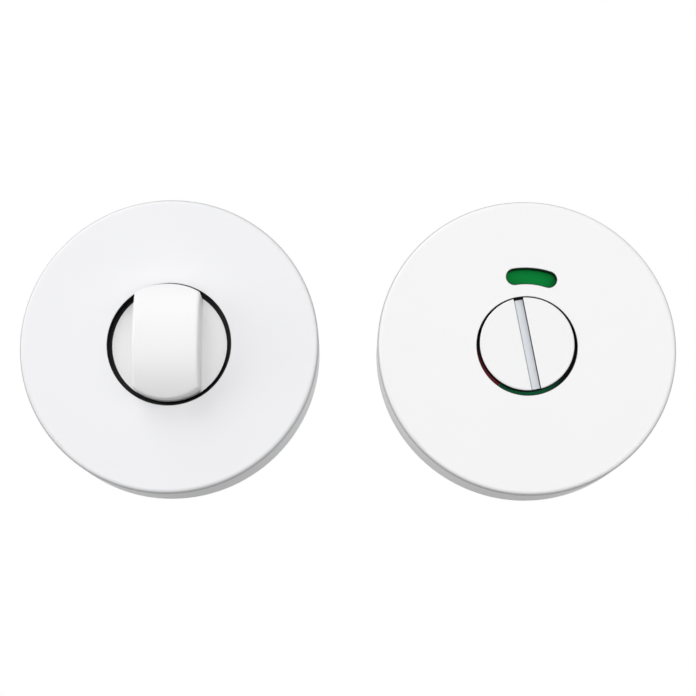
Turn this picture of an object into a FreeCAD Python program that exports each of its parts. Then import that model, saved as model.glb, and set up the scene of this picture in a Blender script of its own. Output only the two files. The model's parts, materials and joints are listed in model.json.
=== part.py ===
import FreeCAD, Part

import math
import os
import re

import Sketcher

# A bathroom thumb turn lock: the inside half with its turn, and beside it the outside half with its coin
# release and colour window. Both keep the frame they have on a door: +Z is up, the roses face -Y and the
# door-side faces lie in the plane Y = 0. The origin is on the turn's axis at the inside half's door face.
# Each piece is drawn in its half's own frame, with Z out of the door along the axis, and then stood up.

# Driving sizes, in millimetres and degrees
SIZES = {
    # Layout
    "half_spacing": 62.2,
    "door_thickness": 40.0,
    # Rose covers
    "rose_diameter": 52.0,
    "rose_depth": 10.0,
    "rose_face": 1.5,
    "rose_wall": 1.5,
    "rose_edge_round": 0.8,
    "rose_lip_chamfer": 0.2,
    "rose_door_gap": 0.2,
    "cover_play": 0.45,
    "outside_cover_drop": 0.33,
    "outside_cover_turn": -4.9,
    # Colour window
    "window_radius": 12.45,
    "window_width": 2.75,
    "window_half_angle": 13.9,
    # Snap joint between cover and plate
    "snap_height": 2.8,
    "snap_bead": 0.6,
    "snap_foot": 1.2,
    "snap_clearance": 0.15,
    # Base plates
    "plate_web": 2.0,
    "plate_rim": 2.0,
    "plate_chamfer": 0.6,
    "rib_width": 1.4,
    "rib_count": 8,
    "rib_bite": 0.5,
    "disc_room": 2.3,
    "clip_recess": 2.6,
    "clip_room": 5.6,
    "collar_wall": 1.6,
    "screw_boss_wall": 1.1,
    # Bearings
    "running_clearance": 0.05,
    "axial_clearance": 0.05,
    "press_clearance": 0.02,
    "bush_wall": 1.0,
    "bush_flange": 0.8,
    "bush_flange_reach": 1.2,
    "spring_room": 0.7,
    "spring_thickness": 0.3,
    "spring_reach": 2.4,
    # Retaining rings
    "clip_thickness": 1.0,
    "clip_groove": 0.3,
    "clip_width": 1.8,
    "clip_offset": 0.45,
    "clip_lug_radius": 1.5,
    "clip_lug_hole": 0.7,
    "clip_lug_angle": 17.0,
    "clip_opening": 2.0,
    # Spindle and its sockets
    "spindle_size": 8.0,
    "spindle_fit": 0.05,
    "spindle_chamfer": 0.5,
    "spindle_lead": 0.6,
    "spindle_overlap": 5.0,
    "socket_wall": 1.35,
    "socket_top": 6.3,
    "tail_chamfer": 0.5,
    # Thumb turn
    "turn_diameter": 20.0,
    "turn_gap": 0.7,
    "turn_recess": 1.2,
    "turn_tail": 9.0,
    "grip_width": 11.3,
    "grip_end_height": 3.2,
    "grip_rise": 3.5,
    "grip_edge_round": 0.5,
    "grub_diameter": 4.0,
    "grub_hex": 2.0,
    "grub_hex_depth": 1.4,
    "grub_inset": 0.2,
    # Coin release and indicator
    "release_diameter": 16.4,
    "release_gap": 0.47,
    "release_proud": 0.3,
    "release_chamfer": 0.15,
    "release_tail": 6.0,
    "release_rest_angle": 10.0,
    "slot_width": 1.7,
    "slot_depth": 1.0,
    "drive_flat": 0.85,
    "disc_thickness": 0.45,
    "disc_margin": 1.1,
    "field_thickness": 0.4,
    "field_overlap": 0.7,
    "field_rim": 0.2,
    "field_joint_angle": 0.2,
    # Bolts and sleeves
    "bolt_edge": 7.0,
    "bolt_diameter": 4.0,
    "bolt_shoulder": 4.8,
    "bolt_shoulder_gap": 0.25,
    "bolt_shoulder_end": 0.3,
    "bolt_head": 7.8,
    "bolt_head_rim": 0.1,
    "bolt_head_inset": 0.15,
    "bolt_end_gap": 2.0,
    "bolt_end_chamfer": 0.5,
    "bolt_hex": 2.5,
    "bolt_hex_depth": 1.6,
    "sleeve_diameter": 7.0,
    "sleeve_flange": 7.8,
    "sleeve_flange_depth": 1.2,
    "sleeve_flange_gap": 0.1,
    "sleeve_reach": 14.0,
    "sleeve_chamfer": 0.4,
    "thread_core": 3.3,
    "thread_depth": 18.0,
}

# Sizes worked out from the driving ones
DERIVED = {
    "rose_radius": "rose_diameter / 2",
    "face_under": "rose_depth - rose_face",
    "cover_bore": "rose_radius - rose_wall",
    "turn_radius": "turn_diameter / 2",
    "release_radius": "release_diameter / 2",
    "turn_hole": "turn_radius + turn_gap",
    "release_hole": "release_radius + release_gap",
    "window_outer": "window_radius + window_width / 2",
    "window_inner": "window_radius - window_width / 2",
    "snap_low": "snap_height - snap_foot / 2",
    "snap_high": "snap_height + snap_foot / 2",
    "snap_crest": "snap_foot / 6",
    "plate_radius": "cover_bore - cover_play",
    "plate_height": "face_under - disc_room",
    "plate_inner": "plate_radius - plate_rim",
    "web_under": "plate_height - plate_web",
    "neck_radius": "spindle_size / sqrt(2) + socket_wall",
    "bush_bore": "neck_radius + running_clearance",
    "bush_radius": "bush_bore + bush_wall",
    "boss_bore": "bush_radius + press_clearance",
    "flange_radius": "bush_radius + bush_flange_reach",
    "flange_top": "plate_height + bush_flange",
    "seat_height": "flange_top + axial_clearance",
    "recess_radius": "neck_radius + clip_room",
    "collar_radius": "recess_radius + collar_wall",
    "clip_top": "clip_recess - spring_room",
    "clip_low": "clip_top - clip_thickness",
    "groove_low": "clip_low - axial_clearance",
    "groove_high": "clip_top + axial_clearance",
    "groove_radius": "neck_radius - clip_groove",
    "clip_bore": "groove_radius + running_clearance",
    "clip_outer": "clip_bore + clip_width",
    "clip_lug_place": "clip_bore + clip_lug_radius + running_clearance",
    "spring_bore": "neck_radius + 3 * running_clearance",
    "spring_outer": "spring_bore + spring_reach",
    "spring_low": "clip_top + axial_clearance",
    "spring_high": "clip_recess - axial_clearance",
    "socket_half": "spindle_size / 2 + spindle_fit",
    "spindle_half": "spindle_size / 2",
    "spindle_top": "socket_top - axial_clearance",
    "spindle_end": "door_thickness + spindle_overlap",
    "turn_shoulder": "rose_depth - turn_recess",
    "grip_half": "grip_width / 2",
    "grip_end_top": "rose_depth + grip_end_height",
    "grip_top": "grip_end_top + grip_rise",
    "arch_radius": "(turn_radius ^ 2 + grip_rise ^ 2) / (2 * grip_rise)",
    "arch_centre": "grip_top - arch_radius",
    "blank_top": "grip_top + grip_rise",
    "cut_reach": "rose_radius",
    "release_top": "rose_depth + release_proud",
    "disc_radius": "window_outer + disc_margin",
    "disc_top": "seat_height + disc_thickness",
    "field_top": "disc_top + field_thickness",
    "field_outer": "disc_radius - field_rim",
    "field_inner": "release_radius - field_overlap",
    "field_half_angle": "45 - field_joint_angle",
    "head_under": "field_top + 3 * axial_clearance",
    "drive_half": "neck_radius - drive_flat",
    "drive_hole_half": "drive_half + running_clearance",
    "drive_hole_reach": "sqrt(bush_bore ^ 2 - drive_hole_half ^ 2)",
    "grub_height": "turn_tail / 2",
    "grub_radius": "grub_diameter / 2",
    "grub_length": "neck_radius - grub_inset - spindle_half",
    "bolt_centres": "rose_diameter - 2 * bolt_edge",
    "bolt_place": "bolt_centres / 2",
    "bolt_radius": "bolt_diameter / 2",
    "shoulder_radius": "bolt_shoulder / 2",
    "bolt_hole": "shoulder_radius + bolt_shoulder_gap",
    "head_radius": "bolt_head / 2",
    "head_top": "plate_height - bolt_head_inset",
    "head_low": "head_top - bolt_head_rim",
    "cone_low": "head_low - head_radius + shoulder_radius",
    "countersink_size": "head_radius + plate_height - head_low + running_clearance - bolt_hole",
    "bolt_end": "door_thickness - bolt_end_gap",
    "sleeve_radius": "sleeve_diameter / 2",
    "sleeve_hole": "sleeve_radius + press_clearance",
    "sleeve_flange_radius": "sleeve_flange / 2",
    "sleeve_bore": "sleeve_flange_radius + sleeve_flange_gap",
    "sleeve_flange_low": "plate_height - sleeve_flange_depth",
    "sleeve_top": "plate_height - sleeve_flange_gap",
    "thread_radius": "thread_core / 2",
    "thread_top": "thread_depth - sleeve_reach",
    "screw_boss": "sleeve_radius + screw_boss_wall",
}

INSIDE = "0"
OUTSIDE = "half_spacing"
NAME = re.compile("[a-z]+(?:_[a-z]+)+")
STANDING = FreeCAD.Rotation(FreeCAD.Vector(1, 0, 0), 90)
AXIS_CLEAR = 1.0
SAME_PLACE = 0.01

doc = FreeCAD.newDocument("thumb_turn_lock")
sheet = doc.addObject("Spreadsheet::Sheet", "Sizes")
for row, (alias, size) in enumerate(SIZES.items(), 1):
    sheet.set(f"A{row}", alias)
    sheet.set(f"B{row}", str(size))
    sheet.setAlias(f"B{row}", alias)
doc.recompute()


def formula(text):
    """Turn a size written in words into an expression on the sheet's cells."""

    def cell(match):
        word = match.group()
        if word in SIZES:
            return "Sizes." + word
        return "(" + formula(DERIVED[word]) + ")"

    return NAME.sub(cell, text)


def value(text):
    return float(sheet.evalExpression(formula(text)))


def point(x, y):
    return FreeCAD.Vector(value(x), value(y), 0)


def new_body(label, half, up="0"):
    """Make a body on the axis of one half, stood up from the half's frame into the door's."""
    body = doc.addObject("PartDesign::Body", label)
    body.Label = label
    body.Placement = FreeCAD.Placement(FreeCAD.Vector(), STANDING)
    body.setExpression("Placement.Base.x", formula(half))
    body.setExpression("Placement.Base.z", formula(up))
    return body


def new_sketch(body, name, role, x="0", z="0", turn="0"):
    """Put a sketch on one of the body's origin planes, moved along and off it and turned in it."""
    sketch = body.newObject("Sketcher::SketchObject", name)
    plane = next(feature for feature in body.Origin.OriginFeatures if feature.Role == role)
    sketch.AttachmentSupport = [(plane, "")]
    sketch.MapMode = "FlatFace"
    sketch.setExpression("AttachmentOffset.Base.x", formula(x))
    sketch.setExpression("AttachmentOffset.Base.z", formula(z))
    sketch.setExpression("AttachmentOffset.Rotation.Angle", formula(turn))
    return sketch


def bind(sketch, constraint, text):
    number = sketch.addConstraint(constraint)
    sketch.setExpression(f"Constraints[{number}]", formula(text))


def pin(sketch, geometry, end, x=None, y=None):
    """Tie a point of a sketch to sizes across and up from the sketch's origin."""
    for kind, text in (("DistanceX", x), ("DistanceY", y)):
        if text is not None:
            bind(sketch, Sketcher.Constraint(kind, -1, 1, geometry, end, value(text)), text)


def circle(sketch, x, y, radius):
    shape = Part.Circle(point(x, y), FreeCAD.Vector(0, 0, 1), value(radius))
    geometry = sketch.addGeometry(shape, False)
    pin(sketch, geometry, 3, x, y)
    bind(sketch, Sketcher.Constraint("Radius", geometry, value(radius)), radius)


def arc(sketch, start, stop, centre_x, centre_y, way):
    """Draw an arc and pin the coordinate of its centre that its two ends leave free."""
    centre = point(centre_x, centre_y)
    first, last = (start, stop) if way > 0 else (stop, start)
    angles = [math.atan2(end.y - centre.y, end.x - centre.x) for end in (first, last)]
    whole = Part.Circle(centre, FreeCAD.Vector(0, 0, 1), (start - centre).Length)
    geometry = sketch.addGeometry(Part.ArcOfCircle(whole, *angles), False)
    if abs(stop.y - start.y) > abs(stop.x - start.x):
        pin(sketch, geometry, 3, x=centre_x)
    else:
        pin(sketch, geometry, 3, y=centre_y)
    return (geometry, 1, 2) if way > 0 else (geometry, 2, 1)


def outline(sketch, corners):
    """Close an outline through corners (x, y). A corner with a third item starts an arc to the next one:
    (centre x, centre y, way), where way is 1 for anticlockwise and -1 for clockwise."""
    places = [point(corner[0], corner[1]) for corner in corners]
    sides = []
    for start, stop, corner in zip(places, places[1:] + places[:1], corners):
        if len(corner) == 3:
            sides.append(arc(sketch, start, stop, *corner[2]))
        else:
            sides.append((sketch.addGeometry(Part.LineSegment(start, stop), False), 1, 2))
    for side, following in zip(sides, sides[1:] + sides[:1]):
        sketch.addConstraint(
            Sketcher.Constraint("Coincident", side[0], side[2], following[0], following[1])
        )
    for side, corner in zip(sides, corners):
        pin(sketch, side[0], side[1], corner[0], corner[1])


def rectangle(sketch, left, right, low, high):
    outline(sketch, [(left, low), (right, low), (right, high), (left, high)])


def hexagon(sketch, x, y, across):
    radius = f"{across} / sqrt(3)"
    turns = range(0, 360, 60)
    outline(sketch, [(f"{x} + {radius} * cos({a})", f"{y} + {radius} * sin({a})") for a in turns])


def revolve(body, sketch):
    made = body.newObject("PartDesign::Revolution", sketch.Name + "_turned")
    made.Profile = sketch
    made.ReferenceAxis = (sketch, ["V_Axis"])
    made.Angle = 360
    doc.recompute()
    return made


def pad(body, sketch, length, backwards=False):
    made = body.newObject("PartDesign::Pad", sketch.Name + "_pad")
    made.Profile = sketch
    made.Reversed = backwards
    made.setExpression("Length", formula(length))
    doc.recompute()
    return made


def cut(body, sketch, length, up=False):
    """Cut against the sketch's normal, or along it with up, and make sure that something went."""
    before = body.Shape.Volume
    made = body.newObject("PartDesign::Pocket", sketch.Name + "_cut")
    made.Profile = sketch
    made.Reversed = up
    made.setExpression("Length", formula(length))
    doc.recompute()
    if not body.Shape.Volume < before:
        raise RuntimeError(f"{made.Name} cuts nothing")
    return made


def around_axis(body, originals, name, count):
    made = body.newObject("PartDesign::PolarPattern", name)
    made.Originals = originals
    axis = next(feature for feature in body.Origin.OriginFeatures if feature.Role == "Z_Axis")
    made.Axis = (axis, [""])
    made.Angle = 360
    made.setExpression("Occurrences", formula(count))
    body.Tip = made
    doc.recompute()


def dress_edges(body, kind, name, chosen, size_name, size):
    """Fillet or chamfer the edges of the body's tip for which chosen is true."""
    base = body.Tip
    edges = [f"Edge{n}" for n, edge in enumerate(base.Shape.Edges, 1) if chosen(edge)]
    made = body.newObject("PartDesign::" + kind, name)
    made.Base = (base, edges)
    made.setExpression(size_name, formula(size))
    doc.recompute()


def rose_cover(label, half, hole, up="0"):
    """A turned cup: face with a central hole, rounded edge, and a groove inside for the plate's snap bead."""
    body = new_body(label, half, up)
    profile = new_sketch(body, label + "_profile", "XZ_Plane")
    groove = "cover_bore + snap_bead + snap_clearance"
    edge_x = "rose_radius - rose_edge_round"
    edge_y = "rose_depth - rose_edge_round"
    outline(profile, [
        (hole, "face_under"),
        ("cover_bore", "face_under"),
        ("cover_bore", "snap_high + snap_clearance"),
        (groove, "snap_height + snap_crest + snap_clearance"),
        (groove, "snap_height - snap_crest - snap_clearance"),
        ("cover_bore", "snap_low - snap_clearance"),
        ("cover_bore", "rose_door_gap"),
        ("rose_radius", "rose_door_gap"),
        ("rose_radius", edge_y, (edge_x, edge_y, 1)),
        (edge_x, "rose_depth"),
        (f"{hole} + rose_lip_chamfer", "rose_depth"),
        (hole, "rose_depth - rose_lip_chamfer"),
    ])
    revolve(body, profile)
    return body


def colour_window(body):
    """The curved window above the release: a slot along an arc with round ends and a chamfered lip."""
    window = new_sketch(body, "window", "XY_Plane", z="rose_depth", turn="outside_cover_turn")
    across, up = "sin(window_half_angle)", "cos(window_half_angle)"
    end_x, end_y = f"window_radius * {across}", f"window_radius * {up}"
    outline(window, [
        (f"window_outer * {across}", f"window_outer * {up}", ("0", "0", 1)),
        (f"-window_outer * {across}", f"window_outer * {up}", (f"-{end_x}", end_y, 1)),
        (f"-window_inner * {across}", f"window_inner * {up}", ("0", "0", -1)),
        (f"window_inner * {across}", f"window_inner * {up}", (end_x, end_y, 1)),
    ])
    cut(body, window, "2 * rose_face")
    front = value("rose_depth")

    def window_rim(edge):
        box = edge.BoundBox
        level = abs(box.ZMin - front) + abs(box.ZMax - front)
        return level < SAME_PLACE and box.YMin > 0

    dress_edges(body, "Chamfer", "window_lip", window_rim, "Size", "rose_lip_chamfer")


def base_plate(label, half):
    """A moulded plate: rim with a snap bead, web, bearing boss, collar, ribs and two screw bosses."""
    body = new_body(label, half)
    profile = new_sketch(body, label + "_profile", "XZ_Plane")
    outline(profile, [
        ("boss_bore", "clip_recess"),
        ("recess_radius", "clip_recess"),
        ("recess_radius", "0"),
        ("collar_radius", "0"),
        ("collar_radius", "web_under"),
        ("plate_inner", "web_under"),
        ("plate_inner", "0"),
        ("plate_radius", "0"),
        ("plate_radius", "snap_low"),
        ("plate_radius + snap_bead", "snap_height - snap_crest"),
        ("plate_radius + snap_bead", "snap_height + snap_crest"),
        ("plate_radius", "snap_high"),
        ("plate_radius", "plate_height - plate_chamfer"),
        ("plate_radius - plate_chamfer", "plate_height"),
        ("boss_bore", "plate_height"),
    ])
    revolve(body, profile)
    rib = new_sketch(body, label + "_rib", "XY_Plane")
    ends = ("collar_radius - rib_bite", "plate_inner + rib_bite")
    rectangle(rib, *ends, "-rib_width / 2", "rib_width / 2")
    around_axis(body, [pad(body, rib, "web_under")], label + "_ribs", "rib_count")
    bosses = new_sketch(body, label + "_bosses", "XY_Plane")
    for side in ("bolt_place", "-bolt_place"):
        circle(bosses, side, "0", "screw_boss")
    pad(body, bosses, "web_under")
    return body


def screw_holes(body, name, radius, depth):
    """A pair of round holes on the bolt centres, cut down from the plate's front."""
    holes = new_sketch(body, name, "XY_Plane", z="plate_height")
    for side in ("bolt_place", "-bolt_place"):
        circle(holes, side, "0", radius)
    cut(body, holes, depth)


def countersunk_plate():
    body = base_plate("inside_base_plate", INSIDE)
    screw_holes(body, "bolt_holes", "bolt_hole", "plate_height")
    front, radius = value("plate_height"), value("bolt_hole")

    def hole_rim(edge):
        rim = getattr(edge, "Curve", None)
        level = abs(edge.BoundBox.ZMin - front) + abs(edge.BoundBox.ZMax - front)
        if not isinstance(rim, Part.Circle):
            return False
        return level < SAME_PLACE and abs(rim.Radius - radius) < SAME_PLACE

    dress_edges(body, "Chamfer", "countersinks", hole_rim, "Size", "countersink_size")


def sleeved_plate():
    body = base_plate("outside_base_plate", OUTSIDE)
    screw_holes(body, "sleeve_holes", "sleeve_hole", "plate_height")
    screw_holes(body, "sleeve_seats", "sleeve_bore", "sleeve_flange_depth")


def bush(label, half):
    body = new_body(label, half)
    profile = new_sketch(body, label + "_profile", "XZ_Plane")
    outline(profile, [
        ("bush_bore", "clip_recess"),
        ("bush_radius", "clip_recess"),
        ("bush_radius", "plate_height"),
        ("flange_radius", "plate_height"),
        ("flange_radius", "flange_top"),
        ("bush_bore", "flange_top"),
    ])
    revolve(body, profile)


def disc_spring(label, half):
    """A conical spring washer: its bore rests on the retaining ring and its rim on the plate's boss."""
    body = new_body(label, half)
    profile = new_sketch(body, label + "_profile", "XZ_Plane")
    outline(profile, [
        ("spring_bore", "spring_low"),
        ("spring_outer", "spring_high - spring_thickness"),
        ("spring_outer", "spring_high"),
        ("spring_bore", "spring_low + spring_thickness"),
    ])
    revolve(body, profile)


def retaining_ring(label, half):
    """An external retaining ring, thickest opposite its opening, with a plier hole in each lug."""
    body = new_body(label, half)
    ring = new_sketch(body, label + "_ring", "XY_Plane", z="clip_low")
    circle(ring, "0", "-clip_offset", "clip_outer")
    circle(ring, "0", "0", "clip_bore")
    pad(body, ring, "clip_thickness")
    lug_x, lug_y = "clip_lug_place * sin(clip_lug_angle)", "clip_lug_place * cos(clip_lug_angle)"
    lugs = new_sketch(body, label + "_lugs", "XY_Plane", z="clip_low")
    holes = new_sketch(body, label + "_lug_holes", "XY_Plane", z="clip_low")
    for side in ("", "-"):
        circle(lugs, side + lug_x, lug_y, "clip_lug_radius")
        circle(holes, side + lug_x, lug_y, "clip_lug_hole")
    pad(body, lugs, "clip_thickness")
    cut(body, holes, "clip_thickness", up=True)
    opening = new_sketch(body, label + "_opening", "XY_Plane", z="clip_low")
    rectangle(opening, "-clip_opening / 2", "clip_opening / 2", "0", "recess_radius")
    cut(body, opening, "clip_thickness", up=True)


def neck_corners(tail):
    """The right-hand side of a turning piece, from its tail up through the ring groove to the bearing."""
    return [
        ("0", f"-{tail}"),
        ("neck_radius - tail_chamfer", f"-{tail}"),
        ("neck_radius", f"tail_chamfer - {tail}"),
        ("neck_radius", "groove_low"),
        ("groove_radius", "groove_low"),
        ("groove_radius", "groove_high"),
        ("neck_radius", "groove_high"),
    ]


def square_socket(body, name, tail, turn="0"):
    socket = new_sketch(body, name, "XY_Plane", z=f"-{tail}", turn=turn)
    rectangle(socket, "-socket_half", "socket_half", "-socket_half", "socket_half")
    cut(body, socket, f"{tail} + socket_top", up=True)


def thumb_turn():
    """A turned piece, milled to an arch over its end and flat on two sides, so a grip stands on its disc."""
    body = new_body("thumb_turn", INSIDE)
    profile = new_sketch(body, "turn_profile", "XZ_Plane")
    outline(profile, neck_corners("turn_tail") + [
        ("neck_radius", "seat_height"),
        ("turn_radius", "seat_height"),
        ("turn_radius", "blank_top"),
        ("0", "blank_top"),
    ])
    revolve(body, profile)
    arch = new_sketch(body, "grip_arch", "YZ_Plane", z="cut_reach")
    outline(arch, [
        ("turn_radius", "grip_end_top", ("0", "arch_centre", 1)),
        ("-turn_radius", "grip_end_top"),
        ("-cut_reach", "grip_end_top"),
        ("-cut_reach", "blank_top"),
        ("cut_reach", "blank_top"),
        ("cut_reach", "grip_end_top"),
    ])
    cut(body, arch, "2 * cut_reach")
    flats = new_sketch(body, "grip_flats", "XY_Plane", z="turn_shoulder")
    rectangle(flats, "grip_half", "cut_reach", "-cut_reach", "cut_reach")
    rectangle(flats, "-cut_reach", "-grip_half", "-cut_reach", "cut_reach")
    cut(body, flats, "grip_top", up=True)
    shoulder = value("turn_shoulder")

    def grip_edge(edge):
        off_axis = min(math.hypot(end.X, end.Y) for end in edge.Vertexes) > AXIS_CLEAR
        return off_axis and edge.BoundBox.ZMax > shoulder + AXIS_CLEAR

    dress_edges(body, "Fillet", "grip_rounds", grip_edge, "Radius", "grip_edge_round")
    square_socket(body, "turn_socket", "turn_tail")
    grub_hole = new_sketch(body, "grub_hole", "XZ_Plane")
    circle(grub_hole, "0", "-grub_height", "grub_radius")
    cut(body, grub_hole, "neck_radius")


def spindle():
    """A square bar from the turn's socket through the door to the other half's socket."""
    body = new_body("spindle", INSIDE)
    section = new_sketch(body, "spindle_section", "XY_Plane", z="spindle_top")
    near, far = "spindle_half - spindle_chamfer", "spindle_half"
    corners = [(far, near), (near, far), (f"-({near})", far), (f"-{far}", near)]
    outline(section, corners + [(f"-({x})", f"-({y})") for x, y in corners])
    pad(body, section, "spindle_top + spindle_end", backwards=True)
    free_end = -value("spindle_end")

    def end_edge(edge):
        return edge.BoundBox.ZMax < free_end + SAME_PLACE

    dress_edges(body, "Chamfer", "spindle_lead_in", end_edge, "Size", "spindle_lead")


def spindle_grub_screw():
    body = new_body("spindle_grub_screw", INSIDE)
    section = new_sketch(body, "grub_section", "XZ_Plane", z="-spindle_half")
    circle(section, "0", "-grub_height", "grub_radius - press_clearance")
    pad(body, section, "grub_length", backwards=True)
    drive = new_sketch(body, "grub_drive", "XZ_Plane", z="-spindle_half - grub_length")
    hexagon(drive, "0", "-grub_height", "grub_hex")
    cut(body, drive, "grub_hex_depth", up=True)


def fixing_bolts():
    """Two countersunk bolts with a plain shoulder in the plate and a thread through the door."""
    body = new_body("fixing_bolts", INSIDE)
    profile = new_sketch(body, "bolt_profile", "XZ_Plane", x="bolt_place")
    outline(profile, [
        ("0", "-bolt_end"),
        ("bolt_radius - bolt_end_chamfer", "-bolt_end"),
        ("bolt_radius", "bolt_end_chamfer - bolt_end"),
        ("bolt_radius", "-bolt_shoulder_end"),
        ("shoulder_radius", "-bolt_shoulder_end"),
        ("shoulder_radius", "cone_low"),
        ("head_radius", "head_low"),
        ("head_radius", "head_top"),
        ("0", "head_top"),
    ])
    turned = revolve(body, profile)
    drive = new_sketch(body, "bolt_drive", "XY_Plane", x="bolt_place", z="head_top")
    hexagon(drive, "0", "0", "bolt_hex")
    recess = cut(body, drive, "bolt_hex_depth")
    around_axis(body, [turned, recess], "bolt_pair", "2")


def bolt_sleeves():
    """Two blind threaded sleeves, each pulled against the plate by a flange let into its front."""
    body = new_body("bolt_sleeves", OUTSIDE)
    profile = new_sketch(body, "sleeve_profile", "XZ_Plane", x="bolt_place")
    outline(profile, [
        ("thread_radius", "-sleeve_reach"),
        ("sleeve_radius - sleeve_chamfer", "-sleeve_reach"),
        ("sleeve_radius", "sleeve_chamfer - sleeve_reach"),
        ("sleeve_radius", "sleeve_flange_low"),
        ("sleeve_flange_radius", "sleeve_flange_low"),
        ("sleeve_flange_radius", "sleeve_top"),
        ("0", "sleeve_top"),
        ("0", "thread_top"),
        ("thread_radius", "thread_top"),
    ])
    around_axis(body, [revolve(body, profile)], "sleeve_pair", "2")


def coin_release():
    """A turned head with a coin slot right across it, a neck with two drive flats, and a square socket."""
    body = new_body("coin_release", OUTSIDE)
    profile = new_sketch(body, "release_profile", "XZ_Plane")
    outline(profile, neck_corners("release_tail") + [
        ("neck_radius", "head_under"),
        ("release_radius", "head_under"),
        ("release_radius", "release_top - release_chamfer"),
        ("release_radius - release_chamfer", "release_top"),
        ("0", "release_top"),
    ])
    revolve(body, profile)
    rest = "release_rest_angle"
    flats = new_sketch(body, "drive_flats", "XY_Plane", z="flange_top", turn=rest)
    rectangle(flats, "drive_half", "cut_reach", "-cut_reach", "cut_reach")
    rectangle(flats, "-cut_reach", "-drive_half", "-cut_reach", "cut_reach")
    cut(body, flats, "head_under - flange_top", up=True)
    slot = new_sketch(body, "coin_slot", "XY_Plane", z="release_top", turn=rest)
    rectangle(slot, "-slot_width / 2", "slot_width / 2", "-cut_reach", "cut_reach")
    cut(body, slot, "slot_depth")
    square_socket(body, "release_socket", "release_tail", turn=rest)


def indicator_disc():
    """The carrier of the colour fields, driven by the flats on the release's neck."""
    body = new_body("indicator_disc", OUTSIDE)
    disc = new_sketch(body, "disc_outline", "XY_Plane", z="seat_height", turn="release_rest_angle")
    circle(disc, "0", "0", "disc_radius")
    half, reach = "drive_hole_half", "drive_hole_reach"
    outline(disc, [
        (half, f"-{reach}"),
        (half, reach, ("0", "0", 1)),
        (f"-{half}", reach),
        (f"-{half}", f"-{reach}", ("0", "0", 1)),
    ])
    pad(body, disc, "disc_thickness")


def colour_fields(label, turn):
    """Two opposite quarter rings of one colour on the carrier disc."""
    body = new_body(label, OUTSIDE)
    fields = new_sketch(body, label + "_outline", "XY_Plane", z="disc_top", turn=turn)
    across, up = "sin(field_half_angle)", "cos(field_half_angle)"
    for side in ("", "-"):
        outline(fields, [
            (f"{side}field_outer * {across}", f"{side}field_outer * {up}", ("0", "0", 1)),
            (f"-1 * {side}field_outer * {across}", f"{side}field_outer * {up}"),
            (f"-1 * {side}field_inner * {across}", f"{side}field_inner * {up}", ("0", "0", -1)),
            (f"{side}field_inner * {across}", f"{side}field_inner * {up}"),
        ])
    pad(body, fields, "field_thickness")


# Inside half
rose_cover("inside_cover", INSIDE, "turn_hole")
countersunk_plate()
thumb_turn()
bush("turn_bush", INSIDE)
disc_spring("turn_disc_spring", INSIDE)
retaining_ring("turn_circlip", INSIDE)
spindle()
spindle_grub_screw()
fixing_bolts()

# Outside half
colour_window(rose_cover("outside_cover", OUTSIDE, "release_hole", up="-outside_cover_drop"))
sleeved_plate()
coin_release()
bush("release_bush", OUTSIDE)
disc_spring("release_disc_spring", OUTSIDE)
retaining_ring("release_circlip", OUTSIDE)
indicator_disc()
colour_fields("green_fields", "release_rest_angle")
colour_fields("red_fields", "release_rest_angle + 90")
bolt_sleeves()

# Check every object, then write one file per piece
doc.recompute()
for made in doc.Objects:
    if {"Invalid", "Error"} & set(made.State):
        raise RuntimeError(f"{made.Name} failed: {made.State}")
bodies = [made for made in doc.Objects if made.TypeId == "PartDesign::Body"]
for body in bodies:
    if body.Shape.isNull() or not body.Shape.isValid():
        raise RuntimeError(f"{body.Label} has no valid shape")
os.makedirs("parts", exist_ok=True)
for body in bodies:
    body.Shape.exportStep(f"parts/{body.Label}.step")
    print(f"{body.Label}: {len(body.Shape.Solids)} solid(s), {body.Shape.Volume:.1f} mm3")
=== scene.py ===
# %% [markdown]
# # A bathroom thumb turn lock
# The lock is a pair of round white roses. The inside one carries a thumb turn, and the outside one a
# coin release with a small curved window that shows green or red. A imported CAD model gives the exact
# shapes and places, so this lesson loads it first, keeps its box as the size to hold to, and then
# dresses it.

# %% Load the frame
import json
import math

import bpy
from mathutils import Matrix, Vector


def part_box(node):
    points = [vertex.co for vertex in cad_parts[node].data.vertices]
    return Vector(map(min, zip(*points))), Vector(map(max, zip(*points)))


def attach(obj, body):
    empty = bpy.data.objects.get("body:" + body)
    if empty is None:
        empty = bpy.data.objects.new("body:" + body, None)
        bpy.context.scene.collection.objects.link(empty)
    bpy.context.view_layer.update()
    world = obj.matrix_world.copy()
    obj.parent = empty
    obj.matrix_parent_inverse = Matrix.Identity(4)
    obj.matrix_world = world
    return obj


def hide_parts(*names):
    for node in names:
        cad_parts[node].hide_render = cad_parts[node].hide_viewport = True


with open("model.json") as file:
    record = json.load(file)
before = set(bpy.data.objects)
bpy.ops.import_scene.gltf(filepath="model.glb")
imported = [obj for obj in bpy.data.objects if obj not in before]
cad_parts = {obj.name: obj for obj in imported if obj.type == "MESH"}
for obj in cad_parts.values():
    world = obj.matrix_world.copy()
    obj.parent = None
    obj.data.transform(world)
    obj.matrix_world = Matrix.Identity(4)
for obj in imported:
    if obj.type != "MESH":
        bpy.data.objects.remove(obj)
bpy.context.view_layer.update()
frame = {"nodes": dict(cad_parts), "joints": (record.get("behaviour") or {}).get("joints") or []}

MM = 0.001
nodes = frame["nodes"]
joints = {joint["name"]: joint for joint in frame["joints"]}
TURN_X = joints["turn_rotation"]["pos_m"][0]
RELEASE_X = joints["release_rotation"]["pos_m"][0]
FACE_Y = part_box("inside_cover")[0].y
print("turn axis at x", TURN_X, "release axis at x", RELEASE_X, "rose faces at y", round(FACE_Y, 5))

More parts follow.
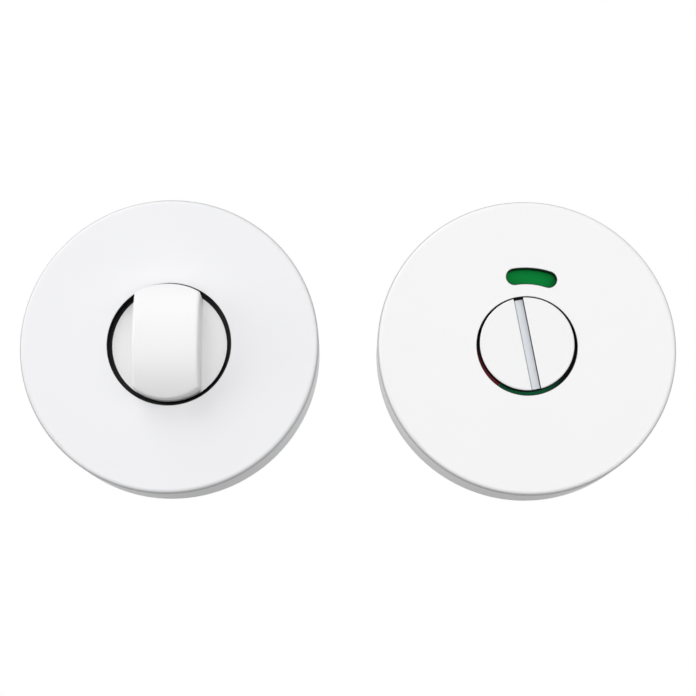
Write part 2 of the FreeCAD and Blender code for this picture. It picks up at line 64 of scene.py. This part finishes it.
# %% [markdown]
# ## The camera
# The camera comes before any finish, because every later look is compared with the photograph from
# here. It stands in front of the gap between the two halves and a little below them, so the roses show
# a thin crescent of their rims at the bottom. It is also rather close, so each half is seen a little
# from its inner side: the grip leans outwards and shows its right flank, and the slot its right wall.
# A long lens from far away would show both halves square on and hide those.

# %% Set the camera
PICTURE_WIDTH = 120.8 * MM
CAMERA_DISTANCE = 0.28
CAMERA_BELOW = math.radians(10.8)
AIM_HEIGHT = -0.75 * MM
SENSOR = 36.0

aim = Vector(((TURN_X + RELEASE_X) / 2, FACE_Y, AIM_HEIGHT))
back = Vector((0.0, -math.cos(CAMERA_BELOW), -math.sin(CAMERA_BELOW))) * CAMERA_DISTANCE
bpy.ops.object.camera_add(location=aim + back, rotation=(math.pi / 2 + CAMERA_BELOW, 0.0, 0.0))
camera = bpy.context.object
camera.data.sensor_width = SENSOR
camera.data.lens = SENSOR * CAMERA_DISTANCE / PICTURE_WIDTH
bpy.context.scene.camera = camera
bpy.context.scene.view_settings.view_transform = "Standard"
print("camera at", [round(side, 4) for side in camera.location], "lens", round(camera.data.lens, 1))

# %% [markdown]
# ## Writing shaders as sums
# A finish is a small net of shader nodes. Placing and linking nodes by hand is slow to read, so one
# class wraps an output socket. Plus, minus, times and comparisons on it add Math nodes, and one method
# adds any other node: its settings go in first, then the values or links of its sockets.


# %% The shader wire
class Wire:
    """An output socket in a node tree. Sums on wires add Math nodes to the tree."""

    def __init__(self, tree, socket=None):
        self.tree = tree
        self.socket = socket

    def node(self, kind, settings=None, values=None, out=0):
        made = self.tree.nodes.new(kind)
        for name, setting in (settings or {}).items():
            setattr(made, name, setting)
        for key, value in (values or {}).items():
            if isinstance(value, Wire):
                self.tree.links.new(value.socket, made.inputs[key])
            else:
                made.inputs[key].default_value = value
        return Wire(self.tree, made.outputs[out] if len(made.outputs) else None)

    def out(self, name):
        return Wire(self.tree, self.socket.node.outputs[name])

    def math(self, operation, first, second):
        return self.node("ShaderNodeMath", {"operation": operation}, {0: first, 1: second})

    def __add__(self, other):
        return self.math("ADD", self, other)

    __radd__ = __add__

    def __sub__(self, other):
        return self.math("SUBTRACT", self, other)

    def __rsub__(self, other):
        return self.math("SUBTRACT", other, self)

    def __mul__(self, other):
        return self.math("MULTIPLY", self, other)

    __rmul__ = __mul__

    def __gt__(self, other):
        return self.math("GREATER_THAN", self, other)

    def __lt__(self, other):
        return self.math("LESS_THAN", self, other)

    def __or__(self, other):
        return self.math("MAXIMUM", self, other)

    def __abs__(self):
        return self.math("ABSOLUTE", self, 0.0)


print("shader wire ready")

# %% [markdown]
# ## Helpers for finishes
# Every finish starts from Object coordinates, which here are metres in the lock's own frame, so a
# pattern keeps its true scale. Noise gives the small unevenness that real surfaces have, and bump turns
# it into fine relief. A mix blends two colours, and a ramp from one level to another makes soft masks.

# %% Finish helpers
EVEN = (1.0, 1.0, 1.0)
finishes = {}


def start_finish(name):
    material = bpy.data.materials.new(name)
    material.use_nodes = True
    material.node_tree.nodes.clear()
    finishes[name] = material
    return Wire(material.node_tree).node("ShaderNodeTexCoord", out="Object")


def noise(place, scale, detail, stretch=EVEN):
    moved = place.node("ShaderNodeMapping", None, {"Vector": place, "Scale": stretch})
    values = {"Vector": moved, "Scale": scale, "Detail": detail}
    return place.node("ShaderNodeTexNoise", None, values, "Fac")


def mix(factor, first, second):
    values = {0: factor, 6: first, 7: second}
    return factor.node("ShaderNodeMix", {"data_type": "RGBA"}, values, 2)


def soft_step(wire, low, high):
    values = {"Value": wire, "From Min": low, "From Max": high}
    return wire.node("ShaderNodeMapRange", {"interpolation_type": "SMOOTHSTEP"}, values)


def bump(height, depth):
    return height.node("ShaderNodeBump", None, {"Height": height, "Distance": depth, "Strength": 1.0})


def end_finish(place, values):
    shader = place.node("ShaderNodeBsdfPrincipled", None, values)
    place.node("ShaderNodeOutputMaterial", None, {"Surface": shader})


def grey(level, blue=0.0):
    return (level, level, level + blue, 1.0)


def darker(colour, share):
    return tuple(share * level for level in colour[:3]) + (1.0,)


print("finish helpers ready")

# %% [markdown]
# ## White satin paint
# The roses, the turn and the release are metal with a white satin coat. A sprayed coat isn't quite
# flat: it has a very fine orange peel and its gloss wanders a little. The lips and walls of the holes,
# and whatever runs behind the faces, are coloured near black: painted shade where they show in the
# narrow gaps, and unpainted dark metal where they are hidden. That is what draws the black rings round
# the turn and the release. A second material on chosen faces could do that, but the CAD faces are left
# alone, so each piece gets a mask by place. A second mask paints a darker colour as painted shade.

# %% White paint
PAINT_DEPTH = 0.05 * MM
PAINT_FADE = 0.05 * MM
PAINT_CLOUD, PAINT_PEEL = 90.0, 2300.0
PEEL_DEPTH = 0.004 * MM
CLOUD_SHADE = 0.985
SATIN, SATIN_DRIFT = 0.36, 0.08
PAINT_SHINE = 0.3
# Near black, for the unpainted dark metal and for painted shade in the gaps.
DARK_METAL_AND_SHADE = grey(0.005)
METAL_DULL, METAL_SHARE = 0.1, 0.6


def behind(where, level):
    return soft_step(where.out("Y"), level + PAINT_DEPTH, level + PAINT_DEPTH + PAINT_FADE)


def axis_distance(where, axis_x, axis_z=0.0):
    across = where.out("X") - axis_x
    up = where.out("Z") - axis_z
    squares = across * across + up * up
    return squares.math("POWER", squares, 0.5)


def white_paint_and_shade(name, white, shade_and_bare_mask, shade_mask=None, shade_colour=None):
    place = start_finish(name)
    where = place.node("ShaderNodeSeparateXYZ", None, {0: place})
    # The mask gives near black: painted shade in the gaps, unpainted dark metal where hidden.
    shade_and_bare = shade_and_bare_mask(where)
    cloud = noise(place, PAINT_CLOUD, 3.0)
    peel = noise(place, PAINT_PEEL, 1.0)
    coat = mix(cloud, darker(white, CLOUD_SHADE), white)
    # A second mask paints a shade colour: painted shade.
    if shade_mask:
        coat = mix(shade_mask(where), coat, shade_colour)
    end_finish(place, {
        "Base Color": mix(shade_and_bare, coat, DARK_METAL_AND_SHADE),
        "Roughness": SATIN + SATIN_DRIFT * cloud + METAL_DULL * shade_and_bare,
        "Metallic": METAL_SHARE * shade_and_bare,
        "Specular IOR Level": PAINT_SHINE,
        "Normal": bump(peel, PEEL_DEPTH),
    })


print("white paint ready")

# %% [markdown]
# ## Paint on the roses
# On a rose the lip and wall of the hole and of the window are coloured near black, a painted shade for
# the dark gaps, and the rest of the cup is white outside. A fine grey line is painted where the face
# rounds over into the wall, a painted shade along the edge. Each cover's own box gives the middle and
# the radius for that, because the outside cover sits a little low on its plate.

# %% Paint the roses
HOLE_REACH = 16.0 * MM
EDGE_START, EDGE_FULL = 0.4 * MM, 0.1 * MM
EDGE_FRONT, EDGE_BACK = 0.8 * MM, 1.6 * MM
# How strong and how grey the painted shade along the edge is.
EDGE_SHADE_SHARE = 0.55
EDGE_SHADE_GREY = grey(0.3)


# Painted shade: the lips and walls of the hole and window go near black.
def rose_gap_shade(axis_x):
    return lambda where: behind(where, FACE_Y) * (axis_distance(where, axis_x) < HOLE_REACH)


# Painted shade: a grey line where the face rounds into the wall.
def rose_edge_shade(node):
    low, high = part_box(node)
    middle = (low + high) / 2
    radius = (high.x - low.x) / 2

    def mask(where):
        outwards = axis_distance(where, middle.x, middle.z)
        edge = soft_step(outwards, radius - EDGE_START, radius - EDGE_FULL)
        wall = soft_step(where.out("Y"), FACE_Y + EDGE_FRONT, FACE_Y + EDGE_BACK)
        return EDGE_SHADE_SHARE * edge * (1.0 - wall)

    return mask


# Painted shade: the inside rose gets a slightly darker, cooler white than the outside one.
ROSES = {
    "inside": (grey(0.83, 0.014), TURN_X),
    "outside": (grey(0.866), RELEASE_X),
}
for side, (white, axis_x) in ROSES.items():
    white_paint_and_shade("rose_white_" + side, white, rose_gap_shade(axis_x), rose_edge_shade(side + "_cover"), EDGE_SHADE_GREY)
print("rose finishes:", [name for name in finishes if "rose" in name])

# %% [markdown]
# ## Paint on the turn and the release
# On the turn everything behind the rim of the sunk disc is coloured near black: painted shade where its
# side shows in the gap, and unpainted dark metal on the neck and tail. The release is white on its face,
# and its slot floor gets a darker, cooler white as painted shade. One wall of the slot is coloured near
# black as painted shade, and so, in part, is the corner of the slot's floor at the other wall, and the
# side of the head in the gap. Across the slot, the wall and the corner are simply a distance from the
# middle.

# %% Paint the turn and the release
TURN_RECESS = 1.2 * MM
RELEASE_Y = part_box("coin_release")[0].y
RELEASE_RIM = 8.0 * MM
RELEASE_CHAMFER = 0.15 * MM
SLOT_DEPTH = 1.0 * MM
SLOT_HALF = 0.85 * MM
SLOT_ANGLE = math.radians(10.0)
# A darker, cooler white for the slot floor: painted shade.
SLOT_SHADE_WHITE = (0.8, 0.825, 0.865, 1.0)
SLOT_SHADE_DEPTH = 0.5 * SLOT_DEPTH
WALL = 0.06 * MM
CORNER_WIDTH = 0.3 * MM
CORNER_DEPTH = 0.9 * SLOT_DEPTH
# How dark the painted shade in the corner is.
CORNER_SHADE = 0.6


# Painted shade on the disc's side in the gap; unpainted dark metal on the neck and tail.
def turn_gap_shade_and_bare(where):
    return behind(where, FACE_Y + TURN_RECESS)


# Painted shade: one slot wall, part of the floor's corner at the other wall and the head's side in the
# gap go near black; the neck behind is unpainted dark metal.
def release_shade_and_bare(where):
    across = (where.out("X") - RELEASE_X) * math.cos(SLOT_ANGLE)
    sideways = across + where.out("Z") * math.sin(SLOT_ANGLE)
    wall = (abs(sideways - SLOT_HALF) < WALL) * behind(where, RELEASE_Y)
    rim = axis_distance(where, RELEASE_X) > RELEASE_RIM
    side = rim * behind(where, RELEASE_Y + RELEASE_CHAMFER)
    corner = (sideways < CORNER_WIDTH - SLOT_HALF) * behind(where, RELEASE_Y + CORNER_DEPTH)
    return wall | side | (CORNER_SHADE * corner) | behind(where, RELEASE_Y + SLOT_DEPTH)


# Painted shade: the slot floor from this depth takes the darker, cooler white.
def slot_shade(where):
    return behind(where, RELEASE_Y + SLOT_SHADE_DEPTH)


white_paint_and_shade("turn_white", grey(0.86), turn_gap_shade_and_bare)
white_paint_and_shade("release_white", grey(0.855), release_shade_and_bare, slot_shade, SLOT_SHADE_WHITE)
print("white paint finishes:", [name for name in finishes if "white" in name])

# %% [markdown]
# ## Moulded plastics
# The base plates are black nylon and the bearings dark acetal. Both come out of a spark-eroded mould, so
# they are finely textured and only a little shiny. The carrier disc is a pale plastic. One function
# makes them all: a colour that wanders slightly, a wandering gloss and a fine texture.

# %% Plastic finishes
PLASTIC_CLOUD, PLASTIC_GRAIN = 140.0, 5200.0
PALE_DARK, PALE_LIGHT = (0.7, 0.7, 0.68, 1.0), (0.76, 0.76, 0.74, 1.0)


def moulded_plastic(name, dark, light, rough, grain_depth):
    place = start_finish(name)
    cloud = noise(place, PLASTIC_CLOUD, 3.0)
    grain = noise(place, PLASTIC_GRAIN, 2.0)
    end_finish(place, {
        "Base Color": mix(cloud, dark, light),
        "Roughness": rough - 0.05 + 0.12 * cloud,
        "Normal": bump(grain, grain_depth),
    })


moulded_plastic("plate_black", grey(0.009), grey(0.014), 0.5, 0.012 * MM)
moulded_plastic("bush_dark", grey(0.03), grey(0.04, 0.002), 0.38, 0.006 * MM)
moulded_plastic("disc_pale", PALE_DARK, PALE_LIGHT, 0.45, 0.006 * MM)
print("plastic finishes:", [name for name in finishes if "white" not in name])

# %% [markdown]
# ## The colour fields
# Green and red are printed on the carrier disc in matt ink. The ink is even under the window, but near
# the hub, in the narrow gap round the head, it is darkened as painted shade, least on the side that lies
# low and left at rest, which stays lighter as painted light where the wider gap lets more in. So the
# ring round the release shows a dull red and green there and looks black elsewhere. One soft ramp works
# on the distance from the axis, and another on how far a place lies towards the lit side, whose angle is
# counted clockwise from straight up.

# %% Field finishes
HUB_INK, FULL_INK = 9.6 * MM, 10.6 * MM
# Where the painted light in the gap falls, and how the painted shade gives way to it.
LIT_SIDE = math.radians(200.0)
SHADE_EDGE, LIT_EDGE = 2.6 * MM, 7.2 * MM
# Near black, the painted shade at the hub.
HUB_SHADE = grey(0.012)
THIN_INK = 0.86
INK_CLOUD, INK_GRAIN = 400.0, 7000.0
INK_SHINE = 0.08


def printed_ink_with_gap_shade(name, ink, shaded_hub_ink):
    place = start_finish(name)
    where = place.node("ShaderNodeSeparateXYZ", None, {0: place})
    cloud = noise(place, INK_CLOUD, 3.0)
    grain = noise(place, INK_GRAIN, 2.0)
    # Painted shade near the hub, lifted towards the lit side as painted light.
    full = soft_step(axis_distance(where, RELEASE_X), HUB_INK, FULL_INK)
    across = (where.out("X") - RELEASE_X) * math.sin(LIT_SIDE)
    lit_share = soft_step(across + where.out("Z") * math.cos(LIT_SIDE), SHADE_EDGE, LIT_EDGE)
    near_hub = mix(lit_share, HUB_SHADE, shaded_hub_ink)
    end_finish(place, {
        "Base Color": mix(full, near_hub, mix(cloud, darker(ink, THIN_INK), ink)),
        "Roughness": 0.5 + 0.1 * cloud,
        "Specular IOR Level": INK_SHINE,
        "Normal": bump(grain, 0.003 * MM),
    })


# The second colour is the dulled ink in the gap, a painted shade.
printed_ink_with_gap_shade("field_green", (0.0, 0.29, 0.05, 1.0), (0.012, 0.2, 0.08, 1.0))
printed_ink_with_gap_shade("field_red", (0.46, 0.012, 0.018, 1.0), (0.4, 0.045, 0.065, 1.0))
print("field finishes:", [name for name in finishes if "field" in name])

# %% [markdown]
# ## Metals
# The spindle is a drawn bar, so its scratches all run along it. The bolts and sleeves are zinc plated,
# with a faint cold and warm tint that drifts over the plating. The springs and rings are phosphated,
# which is dark and dull, and the grub screw is blackened. Stretching the noise along the bar gives the
# drawn lines.

# %% Metal finishes
METAL_CLOUD = 120.0
ALONG_Y = (1.0, 0.02, 1.0)
ZINC_COLD, ZINC_WARM = (0.58, 0.6, 0.66, 1.0), (0.74, 0.73, 0.68, 1.0)


def worked_metal(name, dark, light, rough, stretch, grain_scale, grain_depth):
    place = start_finish(name)
    cloud = noise(place, METAL_CLOUD, 3.0)
    grain = noise(place, grain_scale, 3.0, stretch)
    end_finish(place, {
        "Base Color": mix(0.5 * cloud + 0.5 * grain, dark, light),
        "Roughness": rough - 0.08 + 0.16 * grain,
        "Metallic": 1.0,
        "Normal": bump(grain, grain_depth),
    })


worked_metal("spindle_bright", grey(0.5), grey(0.66, 0.01), 0.3, ALONG_Y, 5000.0, 0.006 * MM)
worked_metal("zinc_bright", ZINC_COLD, ZINC_WARM, 0.3, EVEN, 2500.0, 0.004 * MM)
worked_metal("spring_dark", grey(0.07), grey(0.13), 0.5, EVEN, 6000.0, 0.008 * MM)
worked_metal("screw_black", grey(0.03), grey(0.06), 0.42, EVEN, 6000.0, 0.005 * MM)
print("all finishes:", list(finishes))

# %% [markdown]
# ## Handing out the finishes
# A CAD node keeps its mesh and takes the finish in its material slot. The two roses have the same paint,
# though the inside one is given a slightly darker, cooler white as painted shade, and each has its own
# mask, because the masks measure from different axes.

# %% Give each node its finish
NODE_FINISH = {
    "inside_cover": "rose_white_inside",
    "outside_cover": "rose_white_outside",
    "thumb_turn": "turn_white",
    "coin_release": "release_white",
    "inside_base_plate": "plate_black",
    "outside_base_plate": "plate_black",
    "turn_bush": "bush_dark",
    "release_bush": "bush_dark",
    "turn_disc_spring": "spring_dark",
    "release_disc_spring": "spring_dark",
    "turn_circlip": "spring_dark",
    "release_circlip": "spring_dark",
    "spindle": "spindle_bright",
    "spindle_grub_screw": "screw_black",
    "indicator_disc": "disc_pale",
    "green_fields": "field_green",
    "red_fields": "field_red",
}
for name, finish in NODE_FINISH.items():
    nodes[name].data.materials.clear()
    nodes[name].data.materials.append(finishes[finish])
print("nodes dressed:", len(NODE_FINISH), "of", len(nodes))

# %% [markdown]
# ## Turned outlines
# The bolts and the sleeves have screw threads, which the CAD model leaves as plain cylinders. Both are
# turned pieces, so each begins as the outline of half its section. A plane merged to one point gives the
# first vertex, and extruding it from corner to corner draws the outline. Spinning that round the axis
# makes the skin. The axis is the Y axis here, and a piece is moved to its place when it is done.

# %% Draw and spin an outline
STEPS = 48
SAME = 0.001 * MM


def draw_outline(name, corners):
    """Start a piece as a chain of edges through corners of radius and place along Y, in millimetres."""
    places = [Vector((radius, along, 0.0)) * MM for radius, along in corners]
    bpy.ops.object.select_all(action="DESELECT")
    bpy.ops.mesh.primitive_plane_add(size=MM)
    piece = bpy.context.object
    piece.name = name
    bpy.ops.object.mode_set(mode="EDIT")
    bpy.ops.mesh.merge(type="CENTER")
    bpy.ops.transform.translate(value=places[0])
    for start, stop in zip(places, places[1:]):
        bpy.ops.mesh.extrude_vertices_move(TRANSFORM_OT_translate={"value": stop - start})
    return piece


def spin_outline(name, corners):
    piece = draw_outline(name, corners)
    bpy.ops.mesh.select_all(action="SELECT")
    bpy.ops.mesh.spin(steps=STEPS, angle=math.tau, center=(0.0, 0.0, 0.0), axis=(0.0, 1.0, 0.0))
    bpy.ops.mesh.select_all(action="SELECT")
    bpy.ops.mesh.remove_doubles(threshold=SAME)
    bpy.ops.object.mode_set(mode="OBJECT")
    return piece


print("outline helpers ready, with", STEPS, "steps a turn")

# %% [markdown]
# ## Winding a thread
# A thread is one tooth wound round an axis. The tooth is drawn over a single pitch, with a flat at the
# root and another at the crest, and the Screw modifier turns it and lifts it by a pitch each time round,
# so the end of one turn meets the start of the next. The winding is made a little too long, and two cuts
# square to the axis trim it. A cut can be left open, to be joined to another piece, or closed with a
# face.

# %% Wind and trim a thread
PITCH = 0.7
ROOT_FLAT, CREST_FLAT = 0.25, 0.125
CREST_START = (1.0 + ROOT_FLAT - CREST_FLAT) / 2
THREAD_STEPS = 24


def wind_thread(name, low, high, start, stop):
    """Wind a tooth between two radii from start to past stop, and leave the piece in edit mode."""
    root = [(low, 0.0), (low, ROOT_FLAT)]
    crest = [(high, CREST_START), (high, CREST_START + CREST_FLAT)]
    tooth = root + crest + [(low, 1.0)]
    piece = draw_outline(name, [(radius, start + share * PITCH) for radius, share in tooth])
    bpy.ops.object.mode_set(mode="OBJECT")
    bpy.ops.object.modifier_add(type="SCREW")
    screw = piece.modifiers[-1]
    screw.axis = "Y"
    screw.screw_offset = PITCH * MM
    screw.iterations = math.ceil((stop - start) / PITCH)
    screw.steps = screw.render_steps = THREAD_STEPS
    bpy.ops.object.modifier_apply(modifier=screw.name)
    bpy.ops.object.mode_set(mode="EDIT")
    bpy.ops.mesh.select_all(action="SELECT")
    bpy.ops.mesh.remove_doubles(threshold=SAME)
    return piece


def trim(along, beyond, closed):
    """Cut square to the axis and drop what lies beyond, on the side of more Y or of less."""
    bpy.ops.mesh.select_all(action="SELECT")
    bpy.ops.mesh.bisect(
        plane_co=(0.0, along * MM, 0.0), plane_no=(0.0, 1.0, 0.0), threshold=0.1 * SAME,
        use_fill=closed, clear_outer=beyond > 0, clear_inner=beyond < 0,
    )


print("thread helpers ready, pitch", PITCH, "mm")

# %% [markdown]
# ## Joining the skins
# A bolt is a spun head and a wound thread, and a sleeve a spun skin and a wound bore. Where they meet,
# both have an open edge loop, and bridging the two loops makes one closed skin. The loops are picked by
# their place along the axis.

# %% Join two skins
SEAM_REACH = 0.01
SHARP_ANGLE = math.radians(28.0)


def pick(piece, chosen):
    """Select the vertices whose place in millimetres is chosen, with the edges between them."""
    bpy.ops.object.mode_set(mode="EDIT")
    bpy.ops.mesh.select_mode(type="VERT")
    bpy.ops.mesh.select_all(action="DESELECT")
    bpy.ops.object.mode_set(mode="OBJECT")
    for vertex in piece.data.vertices:
        vertex.select = chosen(vertex.co / MM)
    bpy.ops.object.mode_set(mode="EDIT")


def near(along, level):
    return abs(along - level) < SEAM_REACH


def join_skins(piece, other, seam):
    bpy.ops.object.mode_set(mode="OBJECT")
    bpy.ops.object.select_all(action="DESELECT")
    other.select_set(True)
    piece.select_set(True)
    bpy.context.view_layer.objects.active = piece
    bpy.ops.object.join()
    pick(piece, seam)
    bpy.ops.mesh.bridge_edge_loops()
    bpy.ops.mesh.select_all(action="SELECT")
    bpy.ops.mesh.normals_make_consistent(inside=False)
    bpy.ops.object.mode_set(mode="OBJECT")
    bpy.ops.object.shade_smooth_by_angle(angle=SHARP_ANGLE)


print("skins can be joined, smooth up to", round(math.degrees(SHARP_ANGLE)), "degrees")

# %% [markdown]
# ## Setting a pair in place
# Bolts and sleeves come in pairs, one on each side of an axis. The finished piece is copied, and both
# are moved to their places and stand in for the plain CAD node. How far they stand from the axis comes
# from the box of the CAD bolts, less the radius of a head.

# %% Set a pair in place
HEAD_RADIUS = 3.9
bolts_low, bolts_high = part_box("fixing_bolts")
BOLT_HALF_WAY = (bolts_high.x - bolts_low.x) / 2 - HEAD_RADIUS * MM


def select_only(piece):
    bpy.ops.object.select_all(action="DESELECT")
    piece.select_set(True)
    bpy.context.view_layer.objects.active = piece


def set_pair(piece, axis_x, half_way, node):
    """Put the piece and a copy of it on both sides of an axis, and let them stand for the CAD node."""
    select_only(piece)
    piece.data.materials.clear()
    piece.data.materials.append(finishes["zinc_bright"])
    bpy.ops.object.duplicate()
    copy = bpy.context.object
    copy.name = piece.name + "_2"
    for one, side in ((piece, -1), (copy, 1)):
        one.location.x = axis_x + side * half_way
        select_only(one)
        bpy.ops.object.transform_apply(location=True, rotation=False, scale=False)
        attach(one, "halves")
        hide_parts(node)
    return len(piece.data.polygons)


print("bolts stand", round(BOLT_HALF_WAY / MM, 2), "mm from the axis")

# %% [markdown]
# ## The fixing bolts
# Two countersunk bolts hold the roses to the door. The head sinks into the inside base plate, a plain
# shoulder fills the plate's hole, and the thread runs on through the door. The hexagon for the key is a
# ring of six edges: extruded down it makes the socket, and bridged to the rim of the head it makes the
# flat top.

# %% Make the bolts
HEAD_Y, RIM_Y, CONE_Y, SHOULDER_Y, END_Y = -6.05, -5.95, -4.45, 0.3, 38.0
SHOULDER_RADIUS = 2.4
ROOT_RADIUS, CREST_RADIUS = 1.62, 2.0
HEX_ACROSS = 2.5
HEX_DEPTH = 1.6
END_CHAMFER = 0.5
END_TAPER = 0.76

bolt = spin_outline("fixing_bolt", [
    (HEAD_RADIUS, HEAD_Y), (HEAD_RADIUS, RIM_Y), (SHOULDER_RADIUS, CONE_Y), (SHOULDER_RADIUS, SHOULDER_Y),
])
bpy.ops.object.mode_set(mode="EDIT")
bpy.ops.mesh.select_all(action="DESELECT")
bpy.ops.mesh.primitive_circle_add(
    vertices=6, radius=HEX_ACROSS / math.sqrt(3.0) * MM,
    location=(0.0, HEAD_Y * MM, 0.0), rotation=(math.pi / 2, 0.0, 0.0),
)
bpy.ops.mesh.extrude_region_move(TRANSFORM_OT_translate={"value": (0.0, HEX_DEPTH * MM, 0.0)})
bpy.ops.mesh.edge_face_add()
pick(bolt, lambda place: near(place.y, HEAD_Y))
bpy.ops.mesh.bridge_edge_loops()
bpy.ops.object.mode_set(mode="OBJECT")

shank = wind_thread("shank", ROOT_RADIUS, CREST_RADIUS, SHOULDER_Y - PITCH, END_Y)
trim(SHOULDER_Y, -1, False)
trim(END_Y - END_CHAMFER, 1, True)
bpy.ops.mesh.extrude_region_move(TRANSFORM_OT_translate={"value": (0.0, END_CHAMFER * MM, 0.0)})
bpy.ops.transform.resize(value=(END_TAPER, 1.0, END_TAPER), center_override=(0.0, END_Y * MM, 0.0))
join_skins(bolt, shank, lambda place: near(place.y, SHOULDER_Y))
print("bolt faces", set_pair(bolt, TURN_X, BOLT_HALF_WAY, "fixing_bolts"))

# %% [markdown]
# ## The threaded sleeves
# The outside half has two blind sleeves that take the bolts. Outside they are smooth, with a flange let
# into the plate and a chamfer at the free end. Inside, the same tooth is wound as a bore: its crests
# point outwards into the metal, and its blind end is closed with a face. A small funnel at the mouth
# leads the bolt in, and it is the bridge between the two skins.

# %% Make the sleeves
SLEEVE_TOP, FLANGE_Y, MOUTH_Y, BLIND_Y = -6.1, -5.0, 14.0, -4.0
FLANGE_RADIUS, SLEEVE_RADIUS, MOUTH_RADIUS = 3.9, 3.5, 2.2
SLEEVE_CHAMFER = 0.4
BORE_RADIUS = 1.65
FUNNEL = 0.3
FUNNEL_REACH = 2.5

sleeve = spin_outline("bolt_sleeve", [
    (0.0, SLEEVE_TOP), (FLANGE_RADIUS, SLEEVE_TOP), (FLANGE_RADIUS, FLANGE_Y), (SLEEVE_RADIUS, FLANGE_Y),
    (SLEEVE_RADIUS, MOUTH_Y - SLEEVE_CHAMFER), (SLEEVE_RADIUS - SLEEVE_CHAMFER, MOUTH_Y),
    (MOUTH_RADIUS, MOUTH_Y),
])
bore = wind_thread("bore", BORE_RADIUS, CREST_RADIUS, BLIND_Y - PITCH, MOUTH_Y)
trim(BLIND_Y, -1, True)
trim(MOUTH_Y - FUNNEL, 1, False)


def funnel_seam(place):
    at_mouth = near(place.y, MOUTH_Y) and math.hypot(place.x, place.z) < FUNNEL_REACH
    return at_mouth or near(place.y, MOUTH_Y - FUNNEL)


join_skins(sleeve, bore, funnel_seam)
print("sleeve faces", set_pair(sleeve, RELEASE_X, BOLT_HALF_WAY, "bolt_sleeves"))

# %% [markdown]
# ## Light
# The photograph has soft studio light. The faces are nearly white, the undersides of the rims go grey,
# and a broad soft shade lies round the turn, most below it and to its right. A large soft box in front
# and a little below gives the even white and keeps the lower end of the grip bright. One above and one
# at the left strike the faces at a lower angle, so the grip throws its soft shade to the right and down,
# and one at the right keeps the outside half as white as the inside one. The white room round the lock
# fills the rest: it looks pure white to the camera and in reflections, and gives less than that as
# light. Each soft box has its place and its width in metres and its power in watts.

# %% Lamps and room
ROOM_LIGHT = 0.34
SOFT_BOXES = {
    "front": (Vector((0.0, -0.95, -0.3)), 1.0, 4.0),
    "top": (Vector((-0.35, -0.5, 0.75)), 0.7, 3.2),
    "left": (Vector((-0.9, -0.4, 0.1)), 0.8, 2.9),
    "right": (Vector((0.6, -0.75, 0.1)), 0.8, 2.3),
}


def looking_rays(wire):
    """One for rays from the camera, in reflections and through clear things, and zero for the rest."""
    ray = wire.node("ShaderNodeLightPath", out="Is Camera Ray")
    return ray | ray.out("Is Glossy Ray") | ray.out("Is Transmission Ray")


for name, (place, size, watts) in SOFT_BOXES.items():
    bpy.ops.object.light_add(type="AREA", location=place)
    lamp = bpy.context.object
    lamp.name = name + "_soft_box"
    lamp.data.shape = "DISK"
    lamp.data.size = size
    lamp.data.energy = watts
    lamp.rotation_euler = (aim - place).to_track_quat("-Z", "Y").to_euler()

room = bpy.data.worlds.new("room")
room.use_nodes = True
room.node_tree.nodes.clear()
bpy.context.scene.world = room
level = ROOM_LIGHT + (1.0 - ROOM_LIGHT) * looking_rays(Wire(room.node_tree))
white_room = level.node("ShaderNodeBackground", None, {"Color": grey(1.0), "Strength": level})
level.node("ShaderNodeOutputWorld", None, {"Surface": white_room})
print("soft boxes:", len(SOFT_BOXES), "room light", ROOM_LIGHT)

# %% [markdown]
# ## The floor
# A round floor lies well below the lock and catches its soft shadow. It is dark to bounced light, so it
# throws little up on the rims, and a lift makes it pale to the camera and in reflections. Towards its
# rim it fades into the white room, so no edge shows, and from underneath it can't be seen, so it never
# hides the lock.

# %% Lay the floor
FLOOR_LEVEL = -0.2
FLOOR_RADIUS = 0.35
FLOOR_SIDES = 96
FLOOR_FADE = 0.1
FLOOR_SHADE = 0.12
FLOOR_LIFT = 0.8

bpy.ops.object.select_all(action="DESELECT")
bpy.ops.mesh.primitive_circle_add(
    vertices=FLOOR_SIDES, radius=FLOOR_RADIUS, fill_type="NGON", location=(aim.x, 0.0, FLOOR_LEVEL),
)
floor = bpy.context.object
floor.name = "floor"
place = start_finish("floor_pale")
away = place.node("ShaderNodeVectorMath", {"operation": "LENGTH"}, {0: place}, "Value")
fade = soft_step(away, FLOOR_FADE, FLOOR_RADIUS)
under = place.node("ShaderNodeNewGeometry", out="Backfacing")
matt = place.node("ShaderNodeBsdfDiffuse", None, {"Color": grey(FLOOR_SHADE)})
glow = FLOOR_LIFT * looking_rays(place)
lift = place.node("ShaderNodeEmission", None, {"Color": grey(1.0), "Strength": glow})
lit = place.node("ShaderNodeAddShader", None, {0: matt, 1: lift})
clear = place.node("ShaderNodeBsdfTransparent")
pale = place.node("ShaderNodeMixShader", None, {0: fade | under, 1: lit, 2: clear})
place.node("ShaderNodeOutputMaterial", None, {"Surface": pale})
floor.data.materials.append(finishes["floor_pale"])
print("floor", FLOOR_RADIUS, "m at z", FLOOR_LEVEL)
